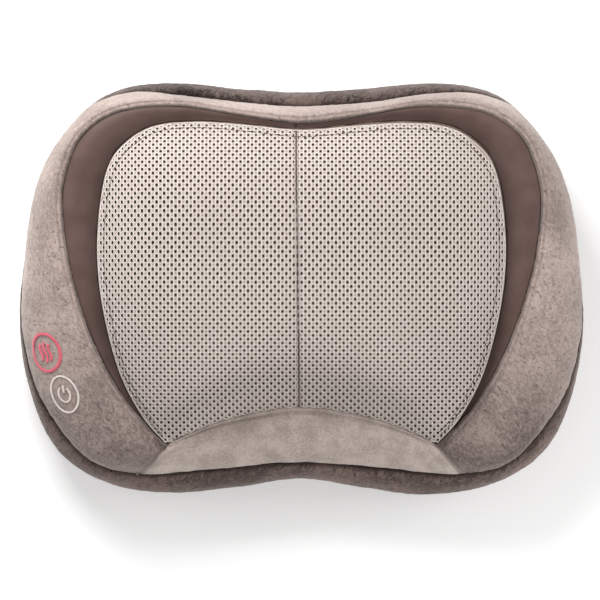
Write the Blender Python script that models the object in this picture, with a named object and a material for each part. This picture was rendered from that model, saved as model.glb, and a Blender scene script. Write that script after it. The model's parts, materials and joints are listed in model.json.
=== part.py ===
"""Shiatsu neck massager: a plush pillow with two counter-rotating massage heads.

Units in this file are millimetres, scaled to metres when a mesh is made. The pillow lies on its flat
back at z = 0, the massage face looks along +Z and the top edge of the pillow is at +Y.
"""
import math

import bmesh
import bpy
import numpy as np
from mathutils import Matrix, Vector

MM = 0.001

# Outlines seen along Z, right half only, from the top centre to the bottom centre.
RIM = [(0, 139.5), (43, 142), (92, 146), (128, 142), (156, 126), (179, 91), (193, 44), (200, -25),
       (190, -82), (170, -118), (135, -139), (92, -145), (43, -140.5), (0, -135)]
FRONT_SEAM = [(0, 128.5), (40, 131), (80, 136), (115, 138.5), (140, 132.5), (155, 121.5),
              (177, 88), (191, 44), (198, -12), (195, -42), (183, -80), (152, -119),
              (115, -131.5), (62, -128), (0, -123.5)]
PLUSH_EDGE = [(0, 117), (40, 121.5), (80, 128), (110, 128), (135, 122), (155, 107), (165, 86),
              (169, 62), (166, 28), (160, 0), (146, -40), (126, -80), (99.5, -115)]
MESH_SIDE = [(0, 113), (40, 116.5), (75, 118.5), (105, 115), (125, 103), (137, 86), (143, 56),
             (144.5, 20), (140, -18), (129, -60), (113, -91), (96, -111)]
MESH_BOTTOM = [(96, -111), (60, -95.5), (20, -86.5), (0, -85)]

# Heights.
RIM_Z = 30.0
SEAM_Z = 52.0
WING_Z = 94.0
MESH_EDGE_Z = 88.0
DOME_TOP = 118.0
LUMP_RISE = 3.0
BOTTOM_DROP = 20.0      # how much lower the mesh edge lies at the bottom than at the top
BACK_ROUND = 24.0       # width of the rounded back edge

# Cover thicknesses and the gap kept between neighbours.
PLUSH_T = 2.5
SATIN_T = 1.5
MESH_T = 1.6
LINING_T = 0.8
LINING_DROP = 2.8       # from the mesh panel's back to the lining
GAP = 0.4
RING_LEAST = 4.2        # the border panel stops where it would be narrower than this
FOAM_SPLIT = 0.003      # half the gap between the foam halves, in radians
CRESCENT_SPLIT = 0.008  # gap at each end of the crescent, in radians

# Gear train.
MODULE = 1.25
WORM_R = 6.0
WHEEL_TEETH = 30
PINION_TEETH = 12
OUTPUT_TEETH = 48
ADDENDUM = 0.8 * MODULE
DEDENDUM = 1.1 * MODULE
BACKLASH = 0.24         # shared by the two flanks of a tooth, along the pitch circle
PRESSURE_ANGLE = math.radians(20)
WORM_Z = 32.0
TRAIN_Y = 22.0          # line through both heads, both wheels and the middle of the worm
WHEEL_X = WORM_R + MODULE * WHEEL_TEETH / 2
HEAD_X = WHEEL_X + MODULE * (PINION_TEETH + OUTPUT_TEETH) / 2
WHEEL_FACE = (28.0, 36.0)
PINION_FACE = (38.0, 48.0)
OUTPUT_FACE = (39.0, 47.0)
WORM_SPAN = (9.0, 35.0)

# Heads.
ORBIT = 38.0            # from the head's axis to each node's axis
NODE_R = 16.0
NODE_BASE = 78.0
UPPER_NODE_TOP = 107.0
LOWER_NODE_TOP = 101.0
ARM_Z = (70.0, 75.0)

# Hard frame.
CASE_R = 36.0
CASE_Z = (14.0, 50.0)
CASE_COVER_Z = (50.3, 54.0)
WALL = 2.5
REAR_Z = (10.0, 40.0)
FRONT_TOP = 58.0
FRAME_INSET = 9.0
MOTOR_R = 17.0
MOTOR_Y = (-66.0, -20.0)

# Buttons on the left wing: centre seen along Z and disc radius.
HEAT_BUTTON = (-181.0, -46.0)
POWER_BUTTON = (-167.0, -75.0)
BUTTON_R = 14.0
BUTTON_T = 2.2

ROUND = 16              # sides of a small round piece

CORNER = math.atan2(MESH_SIDE[-1][1], MESH_SIDE[-1][0])


# curves
def smooth_run(points, steps=12, mirror_start=False, mirror_end=False):
    """Points along a Catmull-Rom curve; a mirrored end meets its left-hand copy smoothly."""
    pts = [Vector(p) for p in points]
    before = Vector((-pts[1].x, pts[1].y)) if mirror_start else 2 * pts[0] - pts[1]
    after = Vector((-pts[-2].x, pts[-2].y)) if mirror_end else 2 * pts[-1] - pts[-2]
    pts = [before] + pts + [after]
    run = []
    for a, b, c, d in zip(pts, pts[1:], pts[2:], pts[3:]):
        for k in range(steps):
            t = k / steps
            run.append(0.5 * ((2 * b) + (c - a) * t + (2 * a - 5 * b + 4 * c - d) * t * t
                              + (3 * b - a - 3 * c + d) * t ** 3))
    run.append(pts[-2])
    return np.array([tuple(p) for p in run])


class Outline:
    """A left-right symmetric outline, read as a radius for each direction from the origin."""

    def __init__(self, run):
        angle = np.arctan2(run[:, 1], run[:, 0])
        order = np.argsort(angle)
        self.angle = angle[order]
        self.radius = np.hypot(run[:, 0], run[:, 1])[order]

    def at(self, angle):
        folded = math.atan2(math.sin(angle), abs(math.cos(angle)))
        return float(np.interp(folded, self.angle, self.radius))


rim = Outline(smooth_run(RIM, mirror_start=True, mirror_end=True))
front_seam = Outline(smooth_run(FRONT_SEAM, mirror_start=True, mirror_end=True))
plush_edge = Outline(smooth_run(PLUSH_EDGE, mirror_start=True))
mesh_side_run = smooth_run(MESH_SIDE, mirror_start=True)
mesh_bottom_run = smooth_run(MESH_BOTTOM, mirror_end=True)
mesh_edge = Outline(np.vstack([mesh_side_run, mesh_bottom_run[1:]]))


def spread(start, end, count):
    return [start + (end - start) * k / count for k in range(count + 1)]


RIGHT_ANGLES = spread(-math.pi / 2, CORNER, 6) + spread(CORNER, math.pi / 2, 17)[1:]
FULL_ANGLES = RIGHT_ANGLES + [math.pi - a for a in reversed(RIGHT_ANGLES[1:-1])]
HORSESHOE_ANGLES = ([a for a in RIGHT_ANGLES if a >= CORNER - 1e-9]
                    + [math.pi - a for a in reversed(RIGHT_ANGLES[:-1]) if a >= CORNER - 1e-9])


def polar(angle, radius, z):
    return (radius * math.cos(angle), radius * math.sin(angle), z)


# profiles in the (radius, z) plane
def back_profile(angle, steps=4):
    """From the flat back out round the rim and up to the front seam."""
    outer = rim.at(angle)
    seam = front_seam.at(angle)
    lower = [(outer - BACK_ROUND * (1 - math.sin(b)), RIM_Z * (1 - math.cos(b)))
             for b in spread(0, math.pi / 2, steps)]
    upper = [(seam + (outer - seam) * math.cos(b), RIM_Z + (SEAM_Z - RIM_Z) * math.sin(b))
             for b in spread(0, math.pi / 2, 2)[1:]]
    return lower + upper


def droop(angle):
    """How far the inner edges lie below their height at the top, for a direction."""
    share = min(max(-math.sin(angle) / math.sin(-CORNER), 0.0), 1.0)
    return BOTTOM_DROP * share * share * (3 - 2 * share)


def wing_profile(angle, inner, top, steps=5):
    """A quarter ellipse from the front seam up to an inner edge at height top."""
    seam = front_seam.at(angle) - 0.3
    return [(inner + (seam - inner) * math.cos(b), SEAM_Z + GAP + (top - SEAM_Z - GAP) * math.sin(b))
            for b in spread(0, math.pi / 2, steps)]


def inner_edge(angle):
    """Inner edge of the plush: the ring's outer edge, never closer than a seam to the mesh."""
    return max(plush_edge.at(angle), mesh_edge.at(angle) + 3.0)


def plush_profile(angle):
    inner = inner_edge(angle)
    top = WING_Z - droop(angle)
    return wing_profile(angle, inner, top) + [(inner - 0.8, top - 3.0)]


def crescent_profile(angle):
    inner = mesh_edge.at(angle) + 0.4
    seam = front_seam.at(angle) - 0.3
    rise = MESH_EDGE_Z - BOTTOM_DROP - SEAM_Z - GAP
    bulge = 6.0
    return [(seam + (inner - seam) * t, SEAM_Z + GAP + rise * t
             + bulge * math.sin(math.pi * t)) for t in spread(0, 1, 5)]


def ring_profile(angle):
    outer = plush_edge.at(angle) - 2.2
    inner = mesh_edge.at(angle) + 1.4
    level = MESH_EDGE_Z - droop(angle)
    return [(outer, level + 1.5), (inner, level)]


def offset(profile, distance):
    """The profile moved to its left, which is inwards on a profile that runs up the pillow."""
    moved = []
    for k, point in enumerate(profile):
        before = profile[max(k - 1, 0)]
        after = profile[min(k + 1, len(profile) - 1)]
        dr, dz = after[0] - before[0], after[1] - before[1]
        length = math.hypot(dr, dz)
        moved.append((point[0] - distance * dz / length, point[1] + distance * dr / length))
    return moved


def dome(x, y):
    """Height of the mesh panel's face over the point (x, y)."""
    angle = math.atan2(y, x)
    share = min(math.hypot(x, y) / mesh_edge.at(angle), 1.0)
    edge = MESH_EDGE_Z - droop(angle)
    power = 3.4 + 1.6 * math.cos(angle) ** 2 - 1.0 * max(-math.sin(angle), 0) ** 2
    height = edge + (DOME_TOP - edge) * max(1 - share ** power, 0) ** 0.7
    for side in (-1, 1):
        for cy, rise in ((TRAIN_Y + ORBIT + 10, LUMP_RISE), (TRAIN_Y - ORBIT, LUMP_RISE * 0.7)):
            away = ((x - side * HEAD_X) / 30) ** 2 + ((y - cy) / 26) ** 2
            height += rise * math.exp(-away) * (1 - share ** 6)
    return height


# making objects
def material(name, colour, roughness, metallic=0.0):
    made = bpy.data.materials.new(name)
    made.use_nodes = True
    shader = made.node_tree.nodes["Principled BSDF"]
    shader.inputs["Base Color"].default_value = (*colour, 1.0)
    shader.inputs["Roughness"].default_value = roughness
    shader.inputs["Metallic"].default_value = metallic
    made.diffuse_color = (*colour, 1.0)
    return made


def finish(bm, name, surface, origin=(0, 0, 0), smooth_angle=35):
    """Turn a bmesh in millimetres into an object whose origin is at the given point."""
    bmesh.ops.remove_doubles(bm, verts=bm.verts, dist=1e-5)
    bmesh.ops.recalc_face_normals(bm, faces=bm.faces)
    bmesh.ops.translate(bm, verts=bm.verts, vec=-Vector(origin))
    bmesh.ops.scale(bm, verts=bm.verts, vec=(MM, MM, MM))
    mesh = bpy.data.meshes.new(name)
    bm.to_mesh(mesh)
    bm.free()
    mesh.shade_smooth()
    mesh.set_sharp_from_angle(angle=math.radians(smooth_angle))
    mesh.materials.append(surface)
    obj = bpy.data.objects.new(name, mesh)
    obj.location = Vector(origin) * MM
    bpy.context.scene.collection.objects.link(obj)
    bpy.context.view_layer.update()
    return obj


def loft(rings, joined=False):
    """A closed body through rings of points; the ends are capped, or meet when joined."""
    bm = bmesh.new()
    rows = [[bm.verts.new(p) for p in ring] for ring in rings]
    pairs = list(zip(rows, rows[1:])) + ([(rows[-1], rows[0])] if joined else [])
    for row, following in pairs:
        for k in range(len(row)):
            n = (k + 1) % len(row)
            bm.faces.new((row[k], row[n], following[n], following[k]))
    if not joined:
        bm.faces.new(rows[0])
        bm.faces.new(rows[-1])
    return bm


def turned(profile, centre=(0, 0), sides=ROUND):
    """A body turned about a line along Z; the profile runs from the axis back to the axis."""
    bm = bmesh.new()
    verts = [bm.verts.new((centre[0] + r, centre[1], z)) for r, z in profile]
    edges = [bm.edges.new(pair) for pair in zip(verts, verts[1:])]
    if profile[0][0] > 0:
        edges.append(bm.edges.new((verts[-1], verts[0])))
    bmesh.ops.spin(bm, geom=verts + edges, cent=(*centre, 0), axis=(0, 0, 1),
                   angle=2 * math.pi, steps=sides, use_merge=True, use_duplicate=False)
    bmesh.ops.remove_doubles(bm, verts=bm.verts, dist=1e-4)
    return bm


def aim(bm, point, direction):
    """Turn a body made about +Z so that +Z points along direction, then move it to point."""
    turn = Vector((0, 0, 1)).rotation_difference(Vector(direction)).to_matrix().to_4x4()
    bmesh.ops.transform(bm, matrix=Matrix.Translation(Vector(point)) @ turn, verts=bm.verts)
    return bm


def rod(point, direction, radius, length, sides=ROUND):
    """A plain cylinder that starts at point."""
    return aim(turned([(0, 0), (radius, 0), (radius, length), (0, length)], sides=sides),
               point, direction)


def prism(outline, z0, z1, twist=0.0, layers=1, centre=(0, 0)):
    """An outline about a centre, raised from z0 to z1 and turned by twist on the way."""
    rings = []
    for t in spread(0, 1, layers):
        turn = Matrix.Rotation(twist * (t - 0.5), 2)
        ring = [turn @ Vector(p) for p in outline]
        rings.append([(centre[0] + p.x, centre[1] + p.y, z0 + (z1 - z0) * t) for p in ring])
    return loft(rings)


def block(low, high):
    bm = bmesh.new()
    bmesh.ops.create_cube(bm, size=1)
    middle = (Vector(low) + Vector(high)) / 2
    bmesh.ops.scale(bm, verts=bm.verts, vec=Vector(high) - Vector(low))
    bmesh.ops.translate(bm, verts=bm.verts, vec=middle)
    return bm


def combine(base, tools, operation):
    """Join or cut a bmesh with others by exact Booleans, and return the new bmesh."""
    def temporary(bm, name):
        bmesh.ops.recalc_face_normals(bm, faces=bm.faces)
        mesh = bpy.data.meshes.new(name)
        bm.to_mesh(mesh)
        bm.free()
        obj = bpy.data.objects.new(name, mesh)
        bpy.context.scene.collection.objects.link(obj)
        return obj

    body = temporary(base, "body_stage")
    helpers = [temporary(tool, "tool_stage") for tool in tools]
    for helper in helpers:
        cut = body.modifiers.new("combine", "BOOLEAN")
        cut.operation = operation
        cut.solver = "EXACT"
        cut.object = helper
    bpy.context.view_layer.update()
    evaluated = body.evaluated_get(bpy.context.evaluated_depsgraph_get())
    result = bmesh.new()
    result.from_mesh(evaluated.to_mesh())
    evaluated.to_mesh_clear()
    for obj in [body] + helpers:
        mesh = obj.data
        bpy.data.objects.remove(obj)
        bpy.data.meshes.remove(mesh)
    bmesh.ops.remove_doubles(result, verts=result.verts, dist=1e-3)
    bmesh.ops.dissolve_degenerate(result, edges=result.edges, dist=1e-3)
    return result


def join(base, tools):
    return combine(base, tools, "UNION")


def cut(base, tools):
    return combine(base, tools, "DIFFERENCE")


# soft covers and padding
def skin(profile_of, angles, thickness, joined=False):
    """A cloth of one thickness whose outer face follows a profile at each angle."""
    sections = []
    for angle in angles:
        outer = profile_of(angle)
        inner = [(r, max(z, SEAM_Z + GAP)) for r, z in offset(outer, thickness)]
        sections.append([polar(angle, r, z) for r, z in outer + inner[::-1]])
    return loft(sections, joined)


def outline_ring(outline, inset, z, angles=FULL_ANGLES):
    return [polar(a, outline.at(a) - inset, z) for a in angles]


def make_back_cover(surface, jack_hole):
    sections = []
    for angle in FULL_ANGLES:
        outer = back_profile(angle)
        inner = offset(outer, PLUSH_T)
        inner[0] = (outer[0][0], PLUSH_T)
        inner[-1] = (outer[-1][0] - PLUSH_T, outer[-1][1])
        sections.append(outer + inner[::-1])
    rings = [[polar(a, *section[k]) for a, section in zip(FULL_ANGLES, sections)]
             for k in range(len(sections[0]))]
    finish(cut(loft(rings), [jack_hole]), "back_cover", surface)


def mesh_rows(x, inset):
    """Lowest and highest y of the mesh panel at x, a little inside its edge."""
    side = mesh_side_run
    widest = int(np.argmax(side[:, 0]))
    top = float(np.interp(x, side[:widest + 1, 0], side[:widest + 1, 1]))
    lower = side[widest:][::-1]
    low_x = np.concatenate([mesh_bottom_run[::-1, 0], lower[1:, 0]])
    low_y = np.concatenate([mesh_bottom_run[::-1, 1], lower[1:, 1]])
    return float(np.interp(x, low_x, low_y)) + inset, top - inset


def domed_sheet(x_values, inset, drop, thickness, rows=9):
    """A sheet of one thickness, a given drop below the mesh panel's face."""
    sections = []
    for x in x_values:
        low, high = mesh_rows(abs(x), inset)
        ys = spread(low, high, rows)
        over = [(x, y, dome(x, y) - drop) for y in ys]
        under = [(x, y, dome(x, y) - drop - thickness) for y in reversed(ys)]
        sections.append(over + under)
    return loft(sections)


def panel_columns(edge, count):
    """Columns that crowd towards the edge, where the panel turns down."""
    widest = float(mesh_side_run[:, 0].max()) - 2.5
    return [edge + (widest - edge) * math.sin(t) for t in spread(0, math.pi / 2, count)]


def foam_half(angles, tools):
    """Padding between the covers and the hard frame over one half of the pillow."""
    sections = []
    for angle in angles:
        edge = MESH_EDGE_Z - droop(angle)
        if math.sin(angle) > math.sin(CORNER):
            front = wing_profile(angle, inner_edge(angle), WING_Z - droop(angle) - 4)
        else:
            front = crescent_profile(angle)
        wall = mesh_edge.at(angle) - 6.0
        outer = offset(back_profile(angle)[2:] + front, PLUSH_T + 2.0)
        outer = [(max(r, wall + 3), max(z, 11.0)) for r, z in outer]
        outer[-1] = (outer[-1][0], min(outer[-1][1], edge - 8))
        section = outer + [(wall, edge - 10), (wall, 11.0)]
        sections.append([polar(angle, r, z) for r, z in section])
    body = loft(sections)
    return cut(body, tools) if tools else body


# buttons
def surface_frame(place):
    """Point on the left wing above a place, and the outward normal there."""
    def height(x, y):
        angle = math.atan2(y, x)
        inner = inner_edge(angle)
        seam = front_seam.at(angle) - 0.3
        share = (math.hypot(x, y) - inner) / (seam - inner)
        rise = WING_Z - droop(angle) - SEAM_Z - GAP
        return SEAM_Z + GAP + rise * math.sqrt(max(1 - share * share, 0))

    x, y = place
    step = 2.0
    slope_x = (height(x + step, y) - height(x - step, y)) / (2 * step)
    slope_y = (height(x, y + step) - height(x, y - step)) / (2 * step)
    normal = Vector((-slope_x, -slope_y, 1)).normalized()
    return Vector((x, y, height(x, y))), normal


def make_button(name, place, surface, switch_surface):
    point, normal = surface_frame(place)
    start = point - normal * 2.6
    disc = turned([(0, 0), (BUTTON_R - 1, 0), (BUTTON_R, 1), (BUTTON_R, BUTTON_T - 0.6),
                   (BUTTON_R - 1.2, BUTTON_T), (0, BUTTON_T + 0.8)], sides=28)
    finish(aim(disc, start, normal), name + "_button", surface, start)
    switch = turned([(0, 0), (6, 0), (6, 5), (2.5, 5), (2.5, 7.6), (0, 7.6)], sides=16)
    finish(aim(switch, start - normal * 10.0, normal), name + "_switch", switch_surface)


def button_cutters(place, radius, depth, reach=4.0):
    point, normal = surface_frame(place)
    return rod(point - normal * depth, normal, radius, depth + reach, 32)


# gears
def involute(base, radius):
    """Angle by which an involute has turned where it reaches a radius."""
    if radius <= base:
        return 0.0
    pressure = math.acos(base / radius)
    return math.tan(pressure) - pressure


def gear_outline(teeth, phase, flank_steps=1):
    """Outline of an involute gear with one tooth centred on the direction phase."""
    pitch = MODULE * teeth / 2
    base = pitch * math.cos(PRESSURE_ANGLE)
    tip, root = pitch + ADDENDUM, pitch - DEDENDUM
    half = (math.pi * MODULE - BACKLASH) / 4 / pitch + involute(base, pitch)
    radii = spread(max(root, base), tip, flank_steps)
    flank = [(r, half - involute(base, r)) for r in radii]
    if root < base:
        flank.insert(0, (root, half))
    points = []
    for k in range(teeth):
        centre = phase + 2 * math.pi * k / teeth
        points += [(r, centre - a) for r, a in flank] + [(r, centre + a) for r, a in reversed(flank)]
    return [(r * math.cos(a), r * math.sin(a)) for r, a in points]


def worm_outline(sides=4):
    """Cross-section of a one-start worm: a cam whose high side is the thread."""
    lead = math.pi * MODULE
    crest = (lead / 2 - BACKLASH / 2 - 2 * ADDENDUM * math.tan(PRESSURE_ANGLE)) / lead * math.pi
    foot = (lead / 2 - BACKLASH / 2 + 2 * DEDENDUM * math.tan(PRESSURE_ANGLE)) / lead * math.pi
    tip, root = WORM_R + ADDENDUM, WORM_R - DEDENDUM
    points = [(tip, a) for a in spread(-crest, crest, 2)]
    points += [(root, a) for a in spread(foot, 2 * math.pi - foot, sides)]
    return [(r * math.cos(a), r * math.sin(a)) for r, a in points]


def make_worm(surface):
    """Motor shaft and worm in one piece, along Y."""
    lead = math.pi * MODULE
    length = WORM_SPAN[1] - WORM_SPAN[0]
    steps = int(round(length / lead * 8))
    outline = worm_outline()
    twist = 2 * math.pi * length / lead
    rings = []
    for t in spread(0, 1, steps):
        turn = Matrix.Rotation(twist * (t - 0.5), 2)
        ring = [turn @ Vector(p) for p in outline]
        rings.append([(p.x, WORM_SPAN[0] + length * t, WORM_Z - p.y) for p in ring])
    thread = loft(rings)
    parts = [rod((0, -63.0, WORM_Z), (0, 1, 0), 1.6, 73.5, 12),
             rod((0, WORM_SPAN[1] - 1.5, WORM_Z), (0, 1, 0), 3.0, 18.5, 12)]
    finish(join(thread, parts), "worm_shaft", surface, (0, TRAIN_Y, WORM_Z))


# one side's drive and head
def make_side(side, look):
    """Everything on one side of the worm: side is +1 on the right and -1 on the left."""
    word = "right" if side > 0 else "left"
    wheel_at = (side * WHEEL_X, TRAIN_Y)
    head_at = (side * HEAD_X, TRAIN_Y)
    facing = 0.0 if side < 0 else math.pi
    # Beside the wheels' middle the thread's crest faces right, so the right wheel shows it a gap.
    wheel_phase = facing + math.pi / WHEEL_TEETH if side > 0 else facing
    face = WHEEL_FACE[1] - WHEEL_FACE[0]
    helix = math.atan2(MODULE / 2, WORM_R)
    twist = face * math.tan(helix) / (MODULE * WHEEL_TEETH / 2)
    wheel = prism(gear_outline(WHEEL_TEETH, wheel_phase), *WHEEL_FACE, twist, 1, wheel_at)
    wheel = cut(wheel, [rod((*wheel_at, WHEEL_FACE[0] - 2), (0, 0, 1), 3.4, face + 4)])
    finish(wheel, word + "_worm_wheel", look["nylon"], (*wheel_at, 0))

    outward = 0.0 if side > 0 else math.pi
    pinion = prism(gear_outline(PINION_TEETH, outward), *PINION_FACE, centre=wheel_at)
    shaft = rod((*wheel_at, 17.2), (0, 0, 1), 3.0, 34.6, 16)
    finish(join(pinion, [shaft]), word + "_pinion_shaft", look["steel"], (*wheel_at, 0))

    output_phase = outward + math.pi + math.pi / OUTPUT_TEETH
    gear = prism(gear_outline(OUTPUT_TEETH, output_phase), *OUTPUT_FACE, centre=head_at)
    gear = cut(gear, [rod((*head_at, OUTPUT_FACE[0] - 2), (0, 0, 1), 4.4, 14)])
    finish(gear, word + "_output_gear", look["nylon"], (*head_at, 0))

    spindle = turned([(0, 17.2), (3, 17.2), (3, 22), (4, 22), (4, 77), (0, 77)], head_at)
    finish(spindle, word + "_output_shaft", look["steel"], (*head_at, 0))

    bush = turned([(4.3, 47.6), (7.8, 47.6), (7.8, 54.4), (9.5, 54.4), (9.5, 57), (4.3, 57)], head_at)
    finish(bush, word + "_output_bush", look["brass"])

    make_arm(word, head_at, look)
    for place, top in (("upper", UPPER_NODE_TOP), ("lower", LOWER_NODE_TOP)):
        way = 1 if place == "upper" else -1
        make_node(word + "_" + place, (head_at[0], head_at[1] + way * ORBIT), top, look)

    lamp_at = (head_at[0], head_at[1] - 20)
    lamp = turned([(0, 58.4), (8, 58.4), (8, 60.5), (6.2, 61), (5.8, 64), (4, 66.6), (0, 67.6)],
                  lamp_at)
    finish(lamp, word + "_heat_lamp", look["lamp"])


def make_arm(word, head_at, look):
    """The bar that carries two nodes: a hub round the shaft and a post under each node."""
    outline = []
    for centre, start in ((ORBIT, 0), (-ORBIT, math.pi)):
        outline += [(9 * math.cos(a), centre + 9 * math.sin(a))
                    for a in spread(start, start + math.pi, 8)]
    bar = prism(outline, *ARM_Z, centre=head_at)
    hub = rod((*head_at, 62), (0, 0, 1), 11, 17, 24)
    posts = []
    holes = [rod((*head_at, 60), (0, 0, 1), 4.4, 18.0)]
    for way, top in ((1, UPPER_NODE_TOP), (-1, LOWER_NODE_TOP)):
        at = (head_at[0], head_at[1] + way * ORBIT)
        posts.append(rod((*at, ARM_Z[0] + 1), (0, 0, 1), 4.5, top - 12 - ARM_Z[0] - 1, 16))
        holes.append(rod((*at, top - 25), (0, 0, 1), 2.0, 20, 8))
    body = cut(join(bar, [hub] + posts), holes)
    finish(body, word + "_massage_arm", look["arm"], (*head_at, 0))


def make_node(name, at, top, look):
    """A rounded kneading knob that spins on its post, and the screw that keeps it there."""
    middle = top - NODE_R
    dome_points = [(NODE_R * math.cos(a), middle + NODE_R * math.sin(a))
                   for a in spread(0, math.radians(62), 4)]
    profile = ([(5.0, NODE_BASE), (NODE_R - 4, NODE_BASE), (NODE_R, middle - 4)] + dome_points
               + [(6.4, top - 2.2), (6.4, top - 7), (5.0, top - 7)])
    finish(turned(profile, at, 16), name + "_node", look["node"], (*at, 0))
    screw = turned([(0, top - 24), (1.5, top - 24), (1.5, top - 11.7), (4.4, top - 11.7),
                    (4.4, top - 6.6), (5.9, top - 6.6), (5.9, top - 4.5), (0, top - 3.5)], at, 10)
    finish(screw, name + "_screw", look["steel"])


# motor, case and frame
def make_motor(look):
    start, end = MOTOR_Y
    axis = (0, 1, 0)
    can = turned([(MOTOR_R - 1.2, 0), (MOTOR_R, 0), (MOTOR_R, end - start), (4, end - start),
                  (4, end - start - 1.2), (MOTOR_R - 1.2, end - start - 1.2)], sides=28)
    finish(aim(can, (0, start, WORM_Z), axis), "motor_can", look["steel"])
    cap = turned([(2.2, -2.5), (6, -2.5), (6, -1), (MOTOR_R, -1), (MOTOR_R, -0.4),
                  (MOTOR_R - 1.6, -0.4), (MOTOR_R - 1.6, 3), (2.2, 3)], sides=28)
    finish(aim(cap, (0, start, WORM_Z), axis), "motor_end_cap", look["black"])
    slots = []
    poles = 5
    for k in range(poles):
        for a, r in ((-0.5, 11.5), (-0.25, 11.5), (0, 11.5), (0.25, 11.5), (0.5, 11.5),
                     (0.56, 8), (0.63, 5.5), (0.70, 8)):
            turn = 2 * math.pi * k / poles + a
            slots.append((r * math.cos(turn), r * math.sin(turn)))
    core = cut(prism(slots, 0, 28), [rod((0, 0, -1), (0, 0, 1), 2.0, 30, 12)])
    finish(aim(core, (0, start + 9, WORM_Z), axis), "motor_core", look["copper"], (0, TRAIN_Y, WORM_Z))
    for word, side in (("left", -1), ("right", 1)):
        middle = 0 if side > 0 else math.pi
        arc = spread(middle - 1.1, middle + 1.1, 8)
        outline = [(15.3 * math.cos(a), 15.3 * math.sin(a)) for a in arc]
        outline += [(12.2 * math.cos(a), 12.2 * math.sin(a)) for a in reversed(arc)]
        finish(aim(prism(outline, 0, 30), (0, start + 8, WORM_Z), axis), word + "_motor_magnet",
               look["magnet"])
    strap = [(19.5 * math.cos(a), WORM_Z + 19.5 * math.sin(a)) for a in spread(0, math.pi, 12)]
    strap += [(17.5 * math.cos(a), WORM_Z + 17.5 * math.sin(a)) for a in spread(math.pi, 0, 12)]
    left = [(-19.5, 15.4), (-28, 15.4), (-28, 12.9), (-17.5, 12.9)]
    right = [(17.5, 12.9), (28, 12.9), (28, 15.4), (19.5, 15.4)]
    outline = strap[:13] + left + strap[13:] + right
    clamp = loft([[(x, y, z) for x, z in outline] for y in (-52.0, -40.0)])
    finish(clamp, "motor_clamp", look["bright"])


def stadium(radius, steps=8):
    """Outline round both heads' axes."""
    right = [(HEAD_X + radius * math.cos(a), radius * math.sin(a))
             for a in spread(-math.pi / 2, math.pi / 2, steps)]
    left = [(-HEAD_X + radius * math.cos(a), radius * math.sin(a))
            for a in spread(math.pi / 2, 3 * math.pi / 2, steps)]
    return right + left


EARS = [(x, TRAIN_Y + y) for x in (-42, 42) for y in (-CASE_R - 3, CASE_R + 3)]


def make_gear_case(look):
    centre = (0, TRAIN_Y)
    shell = prism(stadium(CASE_R), *CASE_Z, centre=centre)
    ears = [rod((*at, CASE_Z[0]), (0, 0, 1), 6, CASE_Z[1] - CASE_Z[0], 12) for at in EARS]
    hollow = prism(stadium(CASE_R - WALL), CASE_Z[0] + WALL, CASE_Z[1] + 5, centre=centre)
    bosses, sockets = [], []
    for x in (WHEEL_X, -WHEEL_X, HEAD_X, -HEAD_X):
        bosses.append(rod((x, TRAIN_Y, CASE_Z[0] + 1), (0, 0, 1), 7, 6.5, 12))
        sockets.append(rod((x, TRAIN_Y, 16.8), (0, 0, 1), 3.6, 8, 12))
    holes = [rod((0, -20, WORM_Z), (0, 1, 0), 4.8, 90, 12)]
    holes += [rod((*at, CASE_Z[1] - 14), (0, 0, 1), 2.0, 20, 8) for at in EARS]
    body = cut(join(shell, ears), [hollow])
    body = cut(join(body, bosses), sockets + holes)
    finish(body, "gear_case_base", look["housing"])

    plate = prism(stadium(CASE_R), *CASE_COVER_Z, centre=centre)
    ears = [rod((*at, CASE_COVER_Z[0]), (0, 0, 1), 6, CASE_COVER_Z[1] - CASE_COVER_Z[0], 12)
            for at in EARS]
    holes = [rod((x, TRAIN_Y, 48), (0, 0, 1), r, depth, 16)
             for x in (-1, 1) for x, r, depth in ((x * HEAD_X, 8.2, 10), (x * WHEEL_X, 3.4, 4.4))]
    holes += [rod((*at, 48), (0, 0, 1), 2.0, 10, 8) for at in EARS]
    finish(cut(join(plate, ears), holes), "gear_case_cover", look["housing"])

    for number, at in enumerate(EARS, 1):
        screw = turned([(0, 38), (1.5, 38), (1.5, 54.3), (3.2, 54.3), (3.2, 55.0), (0, 55.2)],
                       at, 8)
        finish(screw, "case_screw_%d" % number, look["steel"])
    bush = turned([(3.3, 0), (4.3, 0), (4.3, 4), (7, 4), (7, 6), (3.3, 6)], sides=20)
    finish(aim(bush, (0, TRAIN_Y + CASE_R - 3.7, WORM_Z), (0, 1, 0)), "worm_end_bush",
           look["brass"])


FRAME_SCREWS = [(118, 60), (-118, 60), (100, -72), (-100, -72)]


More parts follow.
